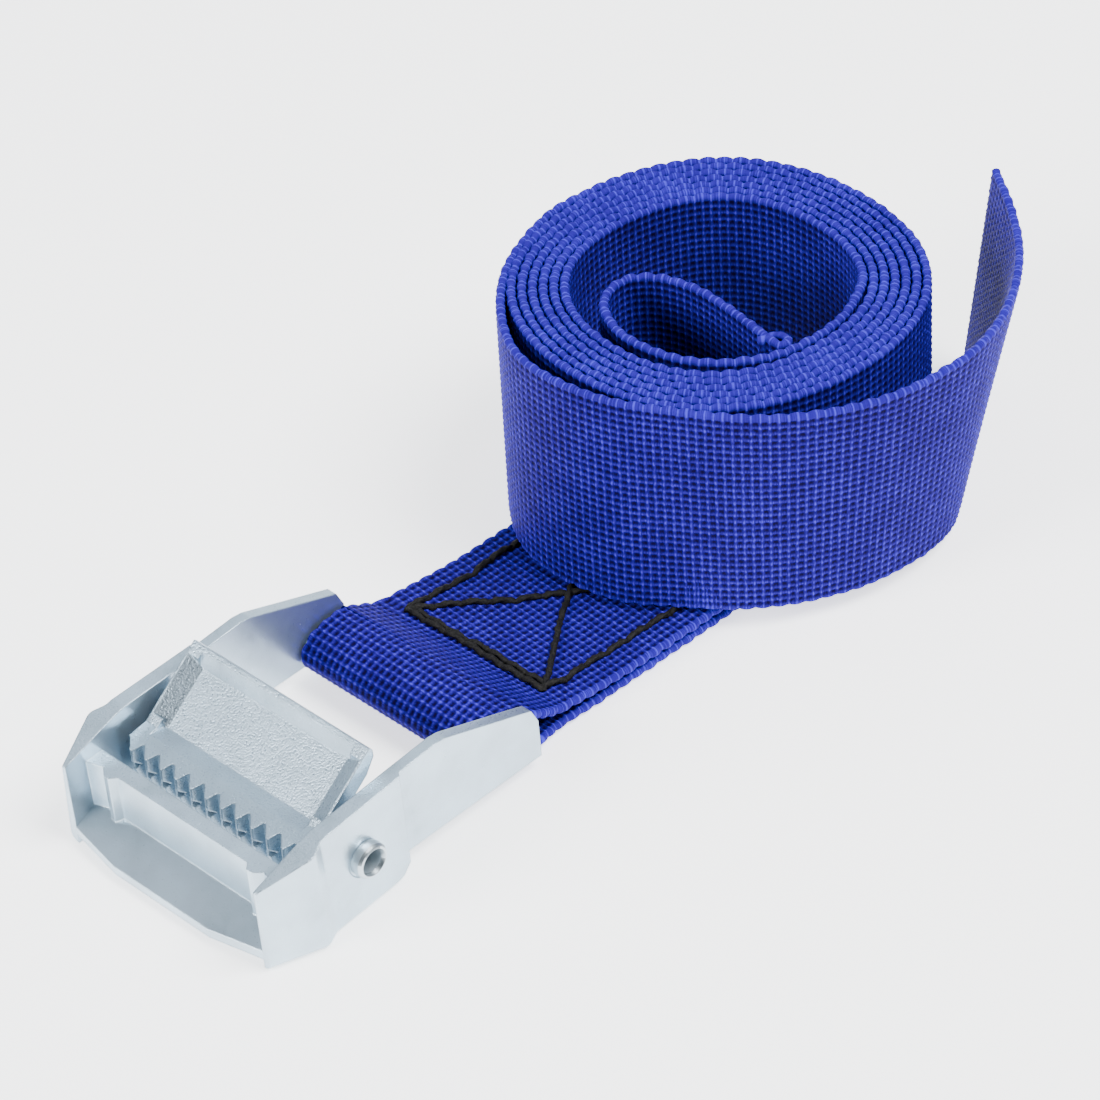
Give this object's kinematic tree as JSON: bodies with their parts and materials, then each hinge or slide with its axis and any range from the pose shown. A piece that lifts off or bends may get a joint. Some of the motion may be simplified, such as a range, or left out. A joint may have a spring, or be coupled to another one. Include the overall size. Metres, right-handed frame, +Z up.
{
  "type": "cam buckle lashing strap",
  "caption": "Flat webbing tie down: cam buckle with sprung toothed lever on a hollow rivet, webbing eye sewn round its crossbar, the long free strap rolled up behind it",
  "frame": {"origin": "on the floor under the middle of the cam axle", "axes": "+Z up, +X from the buckle towards the roll, +Y to the far side plate"},
  "size_m": [0.1108, 0.0466, 0.027],
  "materials": {
    "zinc_casting": "bright zinc plate",
    "zinc_lever": "bright zinc plate",
    "zinc_rivet": "bright zinc plate",
    "spring_wire": "satin",
    "blue_webbing": "woven",
    "black_thread": "matt thread"
  },
  "bodies": {
    "frame": {"buckle_frame": "zinc_casting", "hollow_rivet": "zinc_rivet", "webbing_eye": "blue_webbing", "webbing_lead": "blue_webbing", "webbing_core": "blue_webbing", "webbing_roll": "blue_webbing", "webbing_tail": "blue_webbing", "box_x_stitching": "black_thread"},
    "lever": {"cam_lever": "zinc_lever", "torsion_spring": "spring_wire"}
  },
  "joints": [
    {"name": "cam_press", "type": "hinge", "parent": "frame", "child": "lever", "pos_m": [0, 0, 0.0064], "axis": [0, 1, 0], "range_deg": [0, 40], "stiffness_Nm_per_rad": 0.02, "springref_deg": -20.05}
  ]
}
